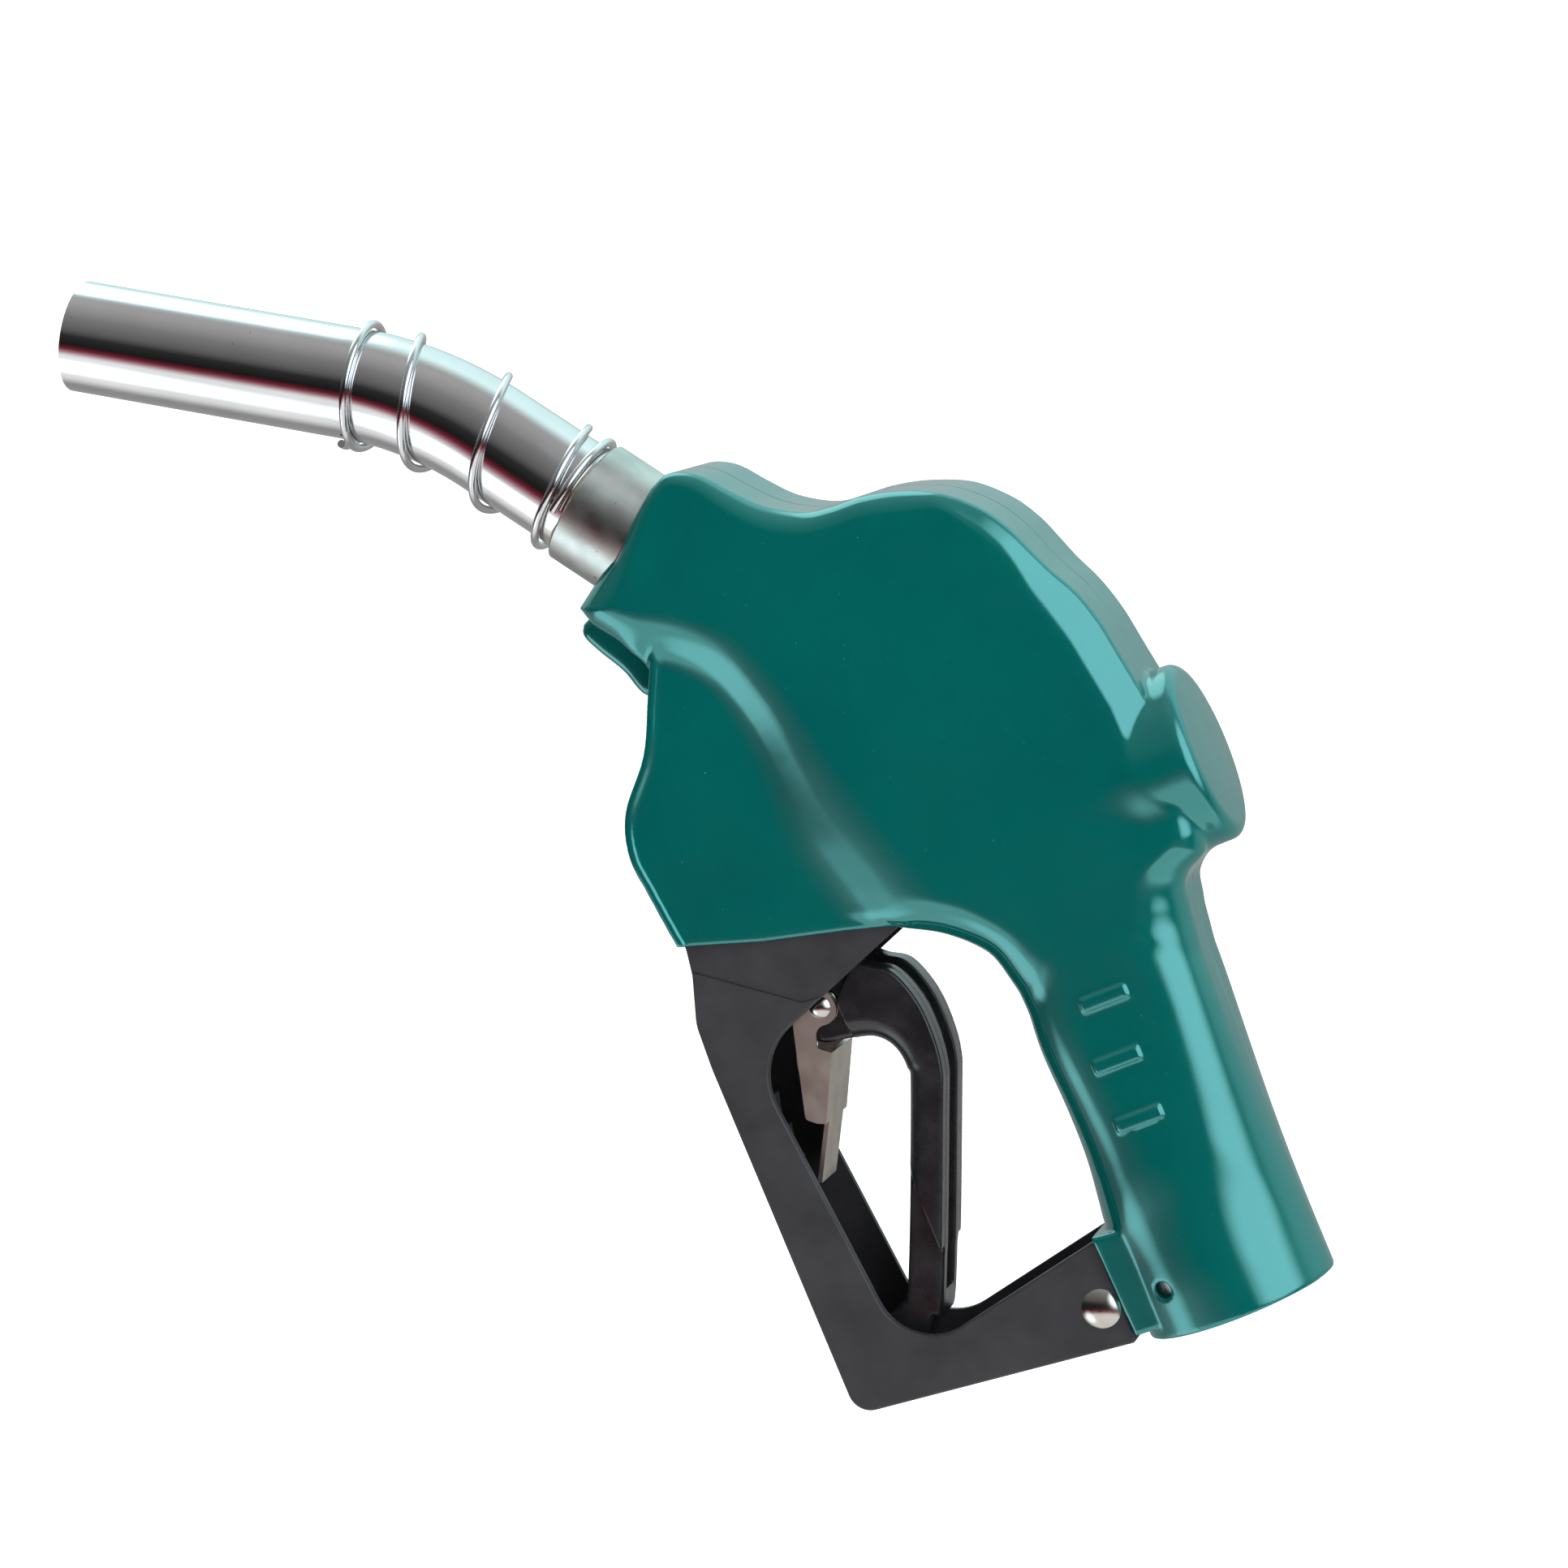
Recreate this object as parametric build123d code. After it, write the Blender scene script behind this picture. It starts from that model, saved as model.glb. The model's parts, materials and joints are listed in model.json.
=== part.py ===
from build123d import *
import math
import os

# Fuel nozzle. Millimetres. The origin is the centre of the hose inlet's mouth, +Z runs up the handle
# towards the body, -X points to the spout and the lever, and the XZ plane is the plane of symmetry.

# Spout, collar and anchor spring
SPOUT_R = 15.0
SPOUT_WALL = 1.5
SPOUT_STRAIGHT = 78.0
SPOUT_BEND_R = 106.0
SPOUT_BEND_DEG = 23.0
SPOUT_REAR_STRAIGHT = 30.0
COLLAR_POS = (-81.7, 258.8)
COLLAR_DEG = 55.0
COLLAR_R = 17.35
TUBE_SEAT = 16.9
ORING_AT = (25.0, 39.0)
VACUUM_R = 2.0
VACUUM_BORE_R = 1.3
VACUUM_DROP = 10.2
PORT_R = 1.6
PORT_FROM_MOUTH = 16.0
SET_SCREW_R = 2.5
SPRING_MEAN_R = 16.6
SPRING_WIRE_R = 1.1
SPRING_STATIONS = [(-0.03, 2.6), (0.25, 2.7), (0.5, 3.0), (0.75, 4.0), (1, 5.6), (1.25, 9.2), (1.5, 15.0),
                   (2, 28.2), (2.5, 40.2), (3, 51.6), (3.5, 62.4), (3.75, 66.6), (4, 68.3), (4.25, 69.0),
                   (4.5, 69.7), (4.8, 71.0)]
SPRING_STEPS = 14

# Body, cover and inlet
BODY_HALF = 22.7
LOBE_HALF = 17.3
COVER_T = 2.6
CASTING_INSET = 2.7
HANDLE_HALF = 22.6
INLET_R = 25.8
INLET_BORE_R = 15.2
INLET_BORE_L = 24.0
BOSS_Z = 137.0
BOSS_R = 24.0
BOSS_X = 49.0
PASSAGE_R = 10.5
BODY_OUTLINE = [(-60, 256.5), (-46, 256.5), (-36, 239.5), (-19, 231), (8, 229.5), (22, 218),
                (37, 181), (42, 160), (42, 113), (29, 107), (26, 92), (-19, 92), (-21, 108),
                (-30, 119), (-43, 126), (-40, 152), (-46, 180), (-55, 208), (-86, 233)]
BODY_RADII = [9.6, 9.6, 14, 14, 14, 14, 20, 12, 9.6, 6, 10, 10, 12, 14, 9.6, 20, 30, 16, 9.6]
LOBE_OUTLINE = [(-74, 218), (-81.7, 204.4), (-88.8, 191.1), (-99.6, 179), (-103.4, 167.8),
                (-102.6, 157), (-99.5, 126), (-41, 110), (-30, 128), (-34, 200), (-60, 222)]
LOBE_RADII = [5, 30, 12, 8, 8, 20, 5, 5, 5, 10, 10]
LOBE_TRIM = [(-125, 146.6), (-34, 123.85), (-20, 90), (-125, 90)]
LOBE_CAVITY = [(-74.5, 211.5), (-80.1, 203.3), (-87.1, 190.4), (-97.9, 177.7), (-101.5, 167.5),
               (-100.7, 157), (-99.3, 140), (-99.3, 110), (-46, 110), (-45, 124), (-40.5, 128),
               (-33, 140), (-34, 160), (-38, 186), (-44, 204)]
LOBE_CAVITY_RADII = [3, 28, 10, 6, 6, 20, 2, 2, 2, 2, 3, 5, 10, 10, 5]
LIP_OUTLINE = [(-84, 234), (-93.5, 227.5), (-92.5, 221), (-84, 203), (-74, 206), (-72, 226)]
LIP_RADII = [3.3, 3.3, 3.3, 5, 5, 5]
HANDLE_OUTLINE = [(26.2, -30), (26.6, 60), (27.6, 100), (24, 132), (-16, 132), (-19.5, 97),
                  (-21.7, 80), (-19.6, 50), (-21.5, 38), (-24.8, 26), (-25.6, -30)]
HANDLE_RADII = [17.5, 200, 60, 17.5, 17.5, 60, 30, 30, 20, 30, 17.5]
HANDLE_EDGE_R = 17.0
KEEL_OUTLINE = [(-72, 216), (-79, 202.5), (-86.3, 188.8), (-93, 180), (-90, 172), (-62, 170.5),
                (-52, 162), (-40, 162), (-40, 216)]
KEEL_RADII = [3, 20, 10, 4, 3, 5, 5, 2, 2]
NECK_R = 21.8
NECK_START = 16.0
NECK_END = 44.0
CASTING_FRONT = 19.2
CASTING_SPLIT_Z = 104.0
DRAIN_POS = (-13.0, 13.0)
LUG_HALF = 18.2

# Hand guard
GUARD_HALF = 15.5
GUARD_INNER_HALF = 13.1
GUARD_WALL = 2.6
RIVET_POS = (-32.0, 13.0)
TONGUE_HALF = GUARD_INNER_HALF - 0.15
GUARD_BOLTS = [(-83.0, 184.0), (-67.0, 190.0)]
GUARD_LEFT = [(-77.5, 206.3), (-79.8, 203), (-86.8, 190.1), (-97.6, 177.4), (-101.2, 167.3),
              (-100.4, 156.5), (-99, 140), (-100.3, 132.5), (-104.6, 120), (-105.3, 108),
              (-105.3, 8.5)]
GUARD_LEFT_RADII = [1, 4, 10, 6, 6, 20, 10, 10, 12, 40, 6]
GUARD_OUTLINE = GUARD_LEFT + [(-26.3, 1.5), (-26.6, 30.2), (-86, 17.4), (-94, 105.8),
                              (-43.2, 124.6), (-45.8, 150), (-49.5, 170), (-60, 197)]
GUARD_RADII = GUARD_LEFT_RADII + [1.5, 1, 15, 18, 1, 10, 10, 4]
GUARD_ENVELOPE = GUARD_LEFT + [(20, -2.5), (20, 260), (-40, 260)]
GUARD_CUT_RADII = [0, 4, 10, 6, 6, 20, 10, 10, 12, 40, 6, 0, 0, 0]
CREASE = [(-100.4, 133.7), (-75.1, 115.4)]
RACK_TEETH = 3
RACK_TOP = 96.0
RACK_PITCH = 9.0
RACK_HALF = 6.0
BOLT_R = 2.5
RIVET_R = 3.0
RIVET_HEAD_R = 5.25

# Main valve and latch
VALVE_Z = 136.0
PIVOT = (-72.0, 157.5)
LATCH_DEG = 20.0
LATCH_TOP = 105.2
LATCH_CAP_R = 16.4
DIAPHRAGM_AT = 96.8
STEM_R = 4.0
PLUNGER_R = 6.0
LATCH_PIN_R = 2.5
LEVER_PIN_R = 2.5

# Lever and hold-open clip
HUB_HALF = 8.8
LEVER_HALF = 12.2
CLIP_POS = (-72.4, 112.3)
CLIP_HALF = 11.2
CLIP_T = 1.2
CLIP_RIVET_R = 1.9
LEVER_OUTLINE = [(-80.6, 165.6), (-63.8, 165.6), (-55.4, 139), (-56.5, 120), (-46.3, 113), (-47.6, 85.5),
                 (-73.6, 27.4), (-89.5, 18.6), (-94, 27), (-82.0, 33.2), (-58.3, 86.5), (-60, 100.8),
                 (-79.5, 101), (-79.5, 130)]
LEVER_RADII = [8.2, 8.2, 5, 4, 16, 20, 3, 2.5, 2.5, 5, 10, 8, 5, 20]
PAD_POS = (-60.0, 133.5)
PAD_R = 5.0
CLIP_TOP = (-74.2, 100.0)
CLIP_MID = (-83.3, 83.0)
CLIP_TIP = (-91.8, 68.4)
CLIP_TONGUE_HALF = 7.5

# Fits
RUN_FIT = 0.05
GAP = 0.05

# Working axes, each a point in the XZ plane and a direction in degrees
VALVE = ((0.0, VALVE_Z), 0.0)
LATCH = (PIVOT, LATCH_DEG)
INTO_BODY = (COLLAR_POS, -COLLAR_DEG)

os.makedirs("parts", exist_ok=True)


def ray(deg):
    return (math.cos(math.radians(deg)), math.sin(math.radians(deg)))


def side_face(points, radii):
    """Closed outline in the XZ plane with one corner radius for each point."""
    return make_face(FilletPolyline(*points, radius=radii, close=True).edges())


def slab(points, radii, half_width, edge_r=0.0, inset=0.0):
    """Outline extruded equally to both sides of the XZ plane, with rounded side edges."""
    face = side_face(points, radii)
    if inset:
        face = offset(face, amount=-inset)
    body = extrude(Plane.XZ * face, amount=half_width - inset, both=True)
    if edge_r > inset:
        rims = body.faces().filter_by(Axis.Y).edges()
        body = fillet(rims, edge_r - inset)
    return body


def sharp_slab(points, half_width):
    """Outline with sharp corners extruded equally to both sides of the XZ plane."""
    face = make_face(Polyline(*points, close=True).edges())
    return extrude(Plane.XZ * face, amount=half_width, both=True)


def axis_plane(point, deg, along=0.0):
    """Plane whose +Z runs along a direction in the XZ plane, starting part way along it."""
    dx, dz = ray(deg)
    origin = (point[0] + dx * along, 0, point[1] + dz * along)
    return Plane(origin=origin, x_dir=(0, 1, 0), z_dir=(dx, 0, dz))


def rod(point, deg, start, end, radius, inner=0.0):
    """Round bar or ring along a direction in the XZ plane, from start to end."""
    bar = Cylinder(radius, end - start, align=(Align.CENTER, Align.CENTER, Align.MIN))
    if inner:
        bar -= Cylinder(inner, end - start, align=(Align.CENTER, Align.CENTER, Align.MIN))
    return axis_plane(point, deg, start) * bar


def cross_rod(x, z, radius, half_width):
    """Round bar along Y."""
    return Pos(x, 0, z) * Rot(90, 0, 0) * Cylinder(radius, 2 * half_width)


def ring(point, deg, at, major, minor):
    return axis_plane(point, deg, at) * Torus(major, minor)


def coil(point, deg, start, end, mean_r, wire_r, turns):
    """Open coil spring whose wire lies between start and end."""
    height = end - start - 2 * wire_r
    helix = Helix(height / turns, height, mean_r)
    section = Plane(origin=helix @ 0, z_dir=helix % 0) * Circle(wire_r)
    return axis_plane(point, deg, start + wire_r) * sweep(section, helix, is_frenet=True)


def save(node, shape):
    export_step(shape, "parts/" + node + ".step")


def body_envelope(inset):
    """Outer shape of body and handle without the guard lobe, moved in by the inset."""
    shell = slab(BODY_OUTLINE, BODY_RADII, BODY_HALF, 9.0, inset)
    handle = slab(HANDLE_OUTLINE, HANDLE_RADII, HANDLE_HALF, HANDLE_EDGE_R, inset)
    handle -= Pos(0, 0, -50) * Box(120, 120, 100)
    inlet = Cylinder(INLET_R - inset, 27, align=(Align.CENTER, Align.CENTER, Align.MIN))
    inlet = chamfer(inlet.edges().sort_by(Axis.Z)[-1], 3.0, 12.0)
    boss = rod((0, BOSS_Z), 0, 20, BOSS_X - inset, BOSS_R - inset)
    boss = fillet(boss.edges().sort_by(Axis.X)[-1], 5.0 - inset / 2)
    return shell + handle + inlet + boss


def make_grip_cover():
    """Moulded vinyl cover: body shell, lobe over the guard, lip, neck and the lug at the guard's tail."""
    outer = body_envelope(0.0)
    outer += rod(*INTO_BODY, NECK_START, NECK_END, NECK_R)
    outer += slab(LIP_OUTLINE, LIP_RADII, 9.0, 3.0)
    lobe = slab(LOBE_OUTLINE, LOBE_RADII, LOBE_HALF, 4.5)
    lobe -= sharp_slab(LOBE_TRIM, 40)
    outer += lobe
    lug = Pos(-20.6, 0, 18.6) * Box(11.2, 2 * LUG_HALF, 30.5)
    outer += fillet(lug.edges().filter_by(Axis.Z), 3.0)
    inner = body_envelope(COVER_T)
    inner += rod(*INTO_BODY, CASTING_FRONT, NECK_END, NECK_R - COVER_T)
    inner += rod(*INTO_BODY, NECK_END - 1, 81, PASSAGE_R + 3.6)
    inner += rod(*VALVE, -50, -20, 9.6)
    keel_room = offset(side_face(KEEL_OUTLINE, KEEL_RADII), amount=0.1)
    inner += extrude(Plane.XZ * keel_room, amount=TONGUE_HALF + 0.1, both=True)
    inner += slab(LOBE_CAVITY, LOBE_CAVITY_RADII, GUARD_HALF + 0.1)
    cover = outer - inner
    cover -= rod(*INTO_BODY, 0, 30, COLLAR_R + 0.1)
    cover -= Pos(-26, 0, 13.5) * Box(20, 2 * GUARD_INNER_HALF, 19)
    cover -= Pos(DRAIN_POS[0], -20, DRAIN_POS[1]) * Rot(90, 0, 0) * Cylinder(2.3, 20)
    return cover


def gland_boss():
    return rod(*VALVE, -44, -20, 9.5)


def make_casting():
    """Aluminium casting with the inlet, valve chamber, latch bore, check passage and guard keel."""
    body = body_envelope(CASTING_INSET)
    body += rod(*INTO_BODY, CASTING_FRONT, NECK_END, NECK_R - CASTING_INSET)
    body += rod(*INTO_BODY, NECK_END - 1, 80, PASSAGE_R + 3.5)
    body += slab(KEEL_OUTLINE, KEEL_RADII, TONGUE_HALF) & guard_hollow(GUARD_WALL + 0.15, TONGUE_HALF)
    body += rod(*LATCH, 15, 50, 10.0)
    body += gland_boss()
    body += Pos(-26.5, 0, 14.0) * Box(23, 2 * TONGUE_HALF, 16)
    # Flow passages
    body -= Cylinder(INLET_BORE_R, INLET_BORE_L, align=(Align.CENTER, Align.CENTER, Align.MIN))
    body -= Pos(1, 0, INLET_BORE_L) * Cylinder(13, 100, align=(Align.CENTER, Align.CENTER, Align.MIN))
    body -= rod(*VALVE, 30, 60, 19.05)
    body -= rod(*VALVE, 10, 31, 17.0)
    body -= rod(*VALVE, 6, 11, 15.0)
    body -= rod(*VALVE, -26, 7, 14.0)
    body -= rod(*INTO_BODY, 66, 80, PASSAGE_R)
    body -= rod(*INTO_BODY, 78, 94, 13.0)
    body -= rod(*INTO_BODY, 92, 126, 17.0)
    # The latch tube stands in the flow chamber, and the wall under the chamber closes the gland
    body += rod(*LATCH, 30, DIAPHRAGM_AT - 3, 8.8)
    body -= rod(*LATCH, 0, 61, PLUNGER_R + RUN_FIT)
    body -= rod(*LATCH, 60, DIAPHRAGM_AT - 1, 7.5)
    body -= rod(*LATCH, DIAPHRAGM_AT - 2, 130, LATCH_CAP_R + 0.1)
    body -= rod(*VALVE, -60, -20, 8.0 + GAP)
    body -= rod(*INTO_BODY, 0, CASTING_FRONT, 25)
    body -= rod(*INTO_BODY, 0, 45, 15.9 + GAP)
    body -= rod(*INTO_BODY, 44, 67, PASSAGE_R)
    # Fastener holes
    for x, z in GUARD_BOLTS:
        body -= cross_rod(x, z, BOLT_R + GAP, 40)
    body -= cross_rod(*RIVET_POS, RIVET_R + GAP, 20)
    body -= set_screw_bar(SET_SCREW_R + GAP)
    for place in latch_screw_places():
        body -= place * Cylinder(1.75, 12)
    return body


def cut_casting(casting):
    """Splits the casting across the top of the handle into its handle and its body."""
    below = Pos(0, 0, CASTING_SPLIT_Z - 300) * Box(600, 600, 600)
    return casting & below, casting - below


def guard_hollow(wall, half_width):
    """Space inside the guard's channel, left open at the top and at the rear."""
    hollow = offset(side_face(GUARD_ENVELOPE, GUARD_CUT_RADII), amount=-wall)
    return extrude(Plane.XZ * hollow, amount=half_width, both=True)


def make_hand_guard():
    """Channel-section guard, open towards the lever, with the hold-open rack on its front wall."""
    guard = extrude(Plane.XZ * side_face(GUARD_OUTLINE, GUARD_RADII), amount=GUARD_HALF, both=True)
    rims = guard.faces().filter_by(Axis.Y).edges()
    guard = fillet(rims, 0.7)
    guard -= guard_hollow(GUARD_WALL, GUARD_INNER_HALF)
    upper = [CREASE[0], CREASE[1], (-40, 112), (-40, 220), (-120, 220), (-120, 136)]
    recess = sharp_slab(upper, GUARD_HALF + 2)
    recess -= Box(400, 2 * GUARD_HALF - 0.9, 800)
    guard -= recess
    for step in range(RACK_TEETH):
        top = RACK_TOP - RACK_PITCH * step
        tooth = [(-103, top), (-97.5, top - 2), (-99, top - 7.5), (-103, top - 9)]
        guard += sharp_slab(tooth, RACK_HALF)
    for x, z in GUARD_BOLTS:
        guard -= cross_rod(x, z, BOLT_R + 0.1, 40)
    guard -= cross_rod(*RIVET_POS, RIVET_R + 0.1, 40)
    return guard


def domed_head(side, x, z, start, radius, height):
    """Low dome on one side of the object, standing on the plane y = side * start."""
    ball_r = (radius ** 2 + height ** 2) / (2 * height)
    dome = Sphere(ball_r) & Pos(0, 0, ball_r) * Box(4 * radius, 4 * radius, 2 * height)
    turn = Rot(-90, 0, 0) if side > 0 else Rot(90, 0, 0)
    return Pos(x, side * (start - ball_r + height), z) * turn * dome


def make_guard_rear_rivet():
    rivet = cross_rod(*RIVET_POS, RIVET_R, GUARD_HALF)
    for side in (-1, 1):
        rivet += domed_head(side, *RIVET_POS, GUARD_HALF, RIVET_HEAD_R, 1.9)
    return rivet


def make_guard_front_bolts():
    group = [cross_rod(x, z, BOLT_R, GUARD_HALF - 0.6) for x, z in GUARD_BOLTS]
    return Compound(group)


# Spout and its adapter
def spout_upper_side():
    """Direction across the collar's axis, towards the upper side of the spout."""
    up = ray(90 - COLLAR_DEG)
    return (up[0], 0, up[1])


def spout_path(offset_down=0.0, front=0.0, rear=TUBE_SEAT):
    """Centreline of the spout from its mouth to inside the collar, moved towards its underside."""
    bend = SPOUT_BEND_R - offset_down
    start = axis_plane(*INTO_BODY)
    line = Polyline((-offset_down, rear), (-offset_down, -SPOUT_REAR_STRAIGHT))
    centre = (-offset_down - bend, -SPOUT_REAR_STRAIGHT)
    arc = CenterArc(centre, bend, 0, -SPOUT_BEND_DEG)
    tip = Line(arc @ 1, arc @ 1 + (arc % 1) * (SPOUT_STRAIGHT - front))
    # Local x is the spout's upper side, local y runs into the body
    lay = Plane(origin=start.origin, x_dir=spout_upper_side(), z_dir=(0, 1, 0))
    return lay, Wire([*line.edges(), *arc.edges(), *tip.edges()])


def sweep_round(radius, inner, offset_down=0.0, front=0.0, rear=TUBE_SEAT):
    lay, path = spout_path(offset_down, front, rear)
    path = lay * path
    start = Plane(origin=path @ 0, z_dir=path % 0)
    tube = sweep(start * Circle(radius), path)
    if inner:
        tube -= sweep(start * Circle(inner), path)
    return tube


def port_plane():
    """Plane at the sensing port: 16 mm behind the mouth, +Z towards the spout's underside."""
    lay, path = spout_path()
    path = lay * path
    point = path @ (1 - PORT_FROM_MOUTH / path.length)
    direction = path % 1
    down = Vector(-direction.Z, 0, direction.X)
    return Plane(origin=point, x_dir=(0, 1, 0), z_dir=down)


def make_spout_tube():
    tube = sweep_round(SPOUT_R, SPOUT_R - SPOUT_WALL)
    tube -= port_plane() * Pos(0, 0, SPOUT_R) * Cylinder(PORT_R, 8)
    return tube


def make_vacuum_tube():
    """Sensing line along the underside of the spout with its port block at the tip."""
    pipe = sweep_round(VACUUM_R, VACUUM_BORE_R, VACUUM_DROP, front=12.0, rear=24.0)
    block = port_plane() * Pos(0, 0, 11.7) * (Cylinder(2.6, 2.8) - Cylinder(PORT_R, 2.8))
    bore = port_plane() * Pos(0, 0, 12.5) * Cylinder(PORT_R, 4.0)
    return pipe - bore + block


def set_screw_bar(radius):
    """Break-away screw across the top of the neck."""
    base = axis_plane(*INTO_BODY, 32.0)
    turn = Plane(origin=base.origin, x_dir=(0, 1, 0), z_dir=spout_upper_side())
    return turn * Pos(0, 0, 16.4) * Cylinder(radius, 4.6)


def make_spout_adapter():
    """Collar with a counterbore for the tube, O-ring grooves and the check valve's guide spider."""
    body = rod(*INTO_BODY, 0, 19, COLLAR_R)
    body = chamfer(body.edges().filter_by(GeomType.CIRCLE), 0.5)
    body += rod(*INTO_BODY, 18.9, 44, 15.9)
    body -= rod(*INTO_BODY, -1, 17, SPOUT_R + RUN_FIT)
    body -= rod(*INTO_BODY, 16, 45, 12.4)
    arm = Box(3, 25.4, 4)
    for turn in (0, 60, 120):
        body += axis_plane(*INTO_BODY, 42) * Rot(0, 0, turn) * arm
    body -= rod(*INTO_BODY, 16, 45, 2.0 + RUN_FIT)
    for at in ORING_AT:
        body -= rod(*INTO_BODY, at - 1.2, at + 1.2, 17.0, 13.9)
    body -= set_screw_bar(SET_SCREW_R + GAP)
    return body


def make_spout_orings():
    return Compound([ring(*INTO_BODY, at, 14.9, 0.95) for at in ORING_AT])


def spring_turns():
    """Turn count and distance from the collar's face of points along the anchor spring."""
    points = []
    for (turn, reach), (next_turn, next_reach) in zip(SPRING_STATIONS, SPRING_STATIONS[1:]):
        count = max(2, round((next_turn - turn) * SPRING_STEPS))
        for step in range(count):
            part = step / count
            points.append((turn + (next_turn - turn) * part, reach + (next_reach - reach) * part))
    points.append(SPRING_STATIONS[-1])
    return points


def make_spout_anchor_spring():
    """Wire spring round the bent spout: close turns at both ends, wide turns between."""
    lay, path = spout_path()
    path = lay * path
    places = []
    for turned, reach in spring_turns():
        part = (TUBE_SEAT + reach) / path.length
        centre = path @ part
        along = path % part
        down = Vector(-along.Z, 0, along.X)
        angle = 2 * math.pi * turned
        side = Vector(0, -1, 0) * math.cos(angle) - down * math.sin(angle)
        places.append(centre + side * SPRING_MEAN_R)
    wire = Spline(*places)
    section = Plane(origin=wire @ 0, z_dir=wire % 0) * Circle(SPRING_WIRE_R)
    return sweep(section, wire, is_frenet=False)


# Check valve
def make_check_seat():
    return rod(*INTO_BODY, 62, 66, PASSAGE_R - 0.05, 7.0)


def make_check_poppet():
    poppet = rod(*INTO_BODY, 58, 61.9, 8.6)
    poppet = chamfer(poppet.edges().filter_by(GeomType.CIRCLE).sort_by(Axis.X)[-1], 1.0)
    return poppet + rod(*INTO_BODY, 38, 58.1, 2.0)


# Main valve
def make_valve_seat():
    seat = rod(*VALVE, 6, 10, 14.97, 10.0)
    return seat + rod(*VALVE, 9.9, 11, 12.0, 10.0)


def make_poppet_seal():
    return rod(*VALVE, 11.05, 12.6, 13.2, 9.0)


def make_main_poppet():
    poppet = rod(*VALVE, 12.6, 17, 14.0, STEM_R + GAP)
    poppet += rod(*VALVE, 11.2, 12.7, 8.95, STEM_R + GAP)
    poppet += rod(*VALVE, 16.9, 21, 7.5, STEM_R + GAP)
    return poppet


def make_main_stem():
    stem = rod(*VALVE, -54.6, 22.5, STEM_R)
    stem = fillet(stem.edges().filter_by(GeomType.CIRCLE).sort_by(Axis.X)[0], 1.2)
    return stem + rod(*VALVE, 21.05, 23.0, 6.0)


def make_packing_gland():
    gland = rod(*VALVE, -45, -26.2, 8.0, STEM_R + RUN_FIT)
    return gland - rod(*VALVE, -34, -26, 6.5)


def make_stem_seal():
    return rod(*VALVE, -33.8, -27.5, 6.4, STEM_R + RUN_FIT)


def make_valve_cap():
    cap = rod(*VALVE, 31, 45.4, 19.0)
    cap -= rod(*VALVE, 30, 41, 14.5)
    cap -= rod(*VALVE, 34.3, 36.7, 20.0, 16.5)
    return cap


def make_valve_cap_oring():
    return ring(*VALVE, 35.5, 17.78, 1.15)


# Latch


def make_latch_plunger():
    bar = rod(*LATCH, 0, 74, PLUNGER_R)
    bar += cross_rod(*PIVOT, 6.0, 6.0)
    bar -= rod(*LATCH, 50, 75, 2.6)
    for place in ball_places():
        bar -= place * Sphere(1.62)
    bar -= cross_rod(*PIVOT, LEVER_PIN_R + GAP, 10)
    return bar


def ball_places():
    base = axis_plane(*LATCH, 71.0)
    return [base * Rot(0, 0, 120 * k) * Pos(4.36, 0, 0) for k in range(3)]


def make_latch_balls():
    return Compound([place * Sphere(1.58) for place in ball_places()])


def make_latch_ring():
    return rod(*LATCH, 61.1, 68, 7.45, PLUNGER_R + RUN_FIT)


def make_lever_pin():
    pin = cross_rod(*PIVOT, LEVER_PIN_R, HUB_HALF + 0.1)
    for side in (-1, 1):
        pin += domed_head(side, *PIVOT, HUB_HALF + 0.1, 3.6, 1.3)
    return pin


def make_latch_pin():
    return rod(*LATCH, 63, DIAPHRAGM_AT + 3, LATCH_PIN_R)


def make_diaphragm_plates():
    below = rod(*LATCH, DIAPHRAGM_AT - 1.4, DIAPHRAGM_AT - 0.1, 8.6, LATCH_PIN_R + GAP)
    above = rod(*LATCH, DIAPHRAGM_AT + 1.1, DIAPHRAGM_AT + 2.2, 8.6, LATCH_PIN_R + GAP)
    return Compound([below, above])


def latch_screw_places():
    base = axis_plane(*LATCH, DIAPHRAGM_AT)
    return [base * Rot(0, 0, 45 + 90 * k) * Pos(13.3, 0, 0) for k in range(4)]


def make_diaphragm():
    disc = rod(*LATCH, DIAPHRAGM_AT, DIAPHRAGM_AT + 1.0, LATCH_CAP_R, 2.55)
    for place in latch_screw_places():
        disc -= place * Cylinder(1.8, 12)
    return disc


def make_latch_cap():
    cap = rod(*LATCH, DIAPHRAGM_AT + 1.05, LATCH_TOP, LATCH_CAP_R)
    cap -= rod(*LATCH, DIAPHRAGM_AT + 1.0, LATCH_TOP - 1.6, 10.6)
    for place in latch_screw_places():
        cap -= place * Pos(0, 0, 4) * Cylinder(1.8, 12)
        cap -= place * Pos(0, 0, LATCH_TOP - DIAPHRAGM_AT) * Cylinder(3.05, 4)
    return cap


def make_latch_cap_screws():
    group = []
    for place in latch_screw_places():
        shank = place * Pos(0, 0, 0.5) * Cylinder(1.7, 11.0)
        head = place * Pos(0, 0, LATCH_TOP - DIAPHRAGM_AT - 1.0) * Cylinder(3.0, 1.8)
        group.append(shank + head)
    return Compound(group)


# Lever and hold-open clip


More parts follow.
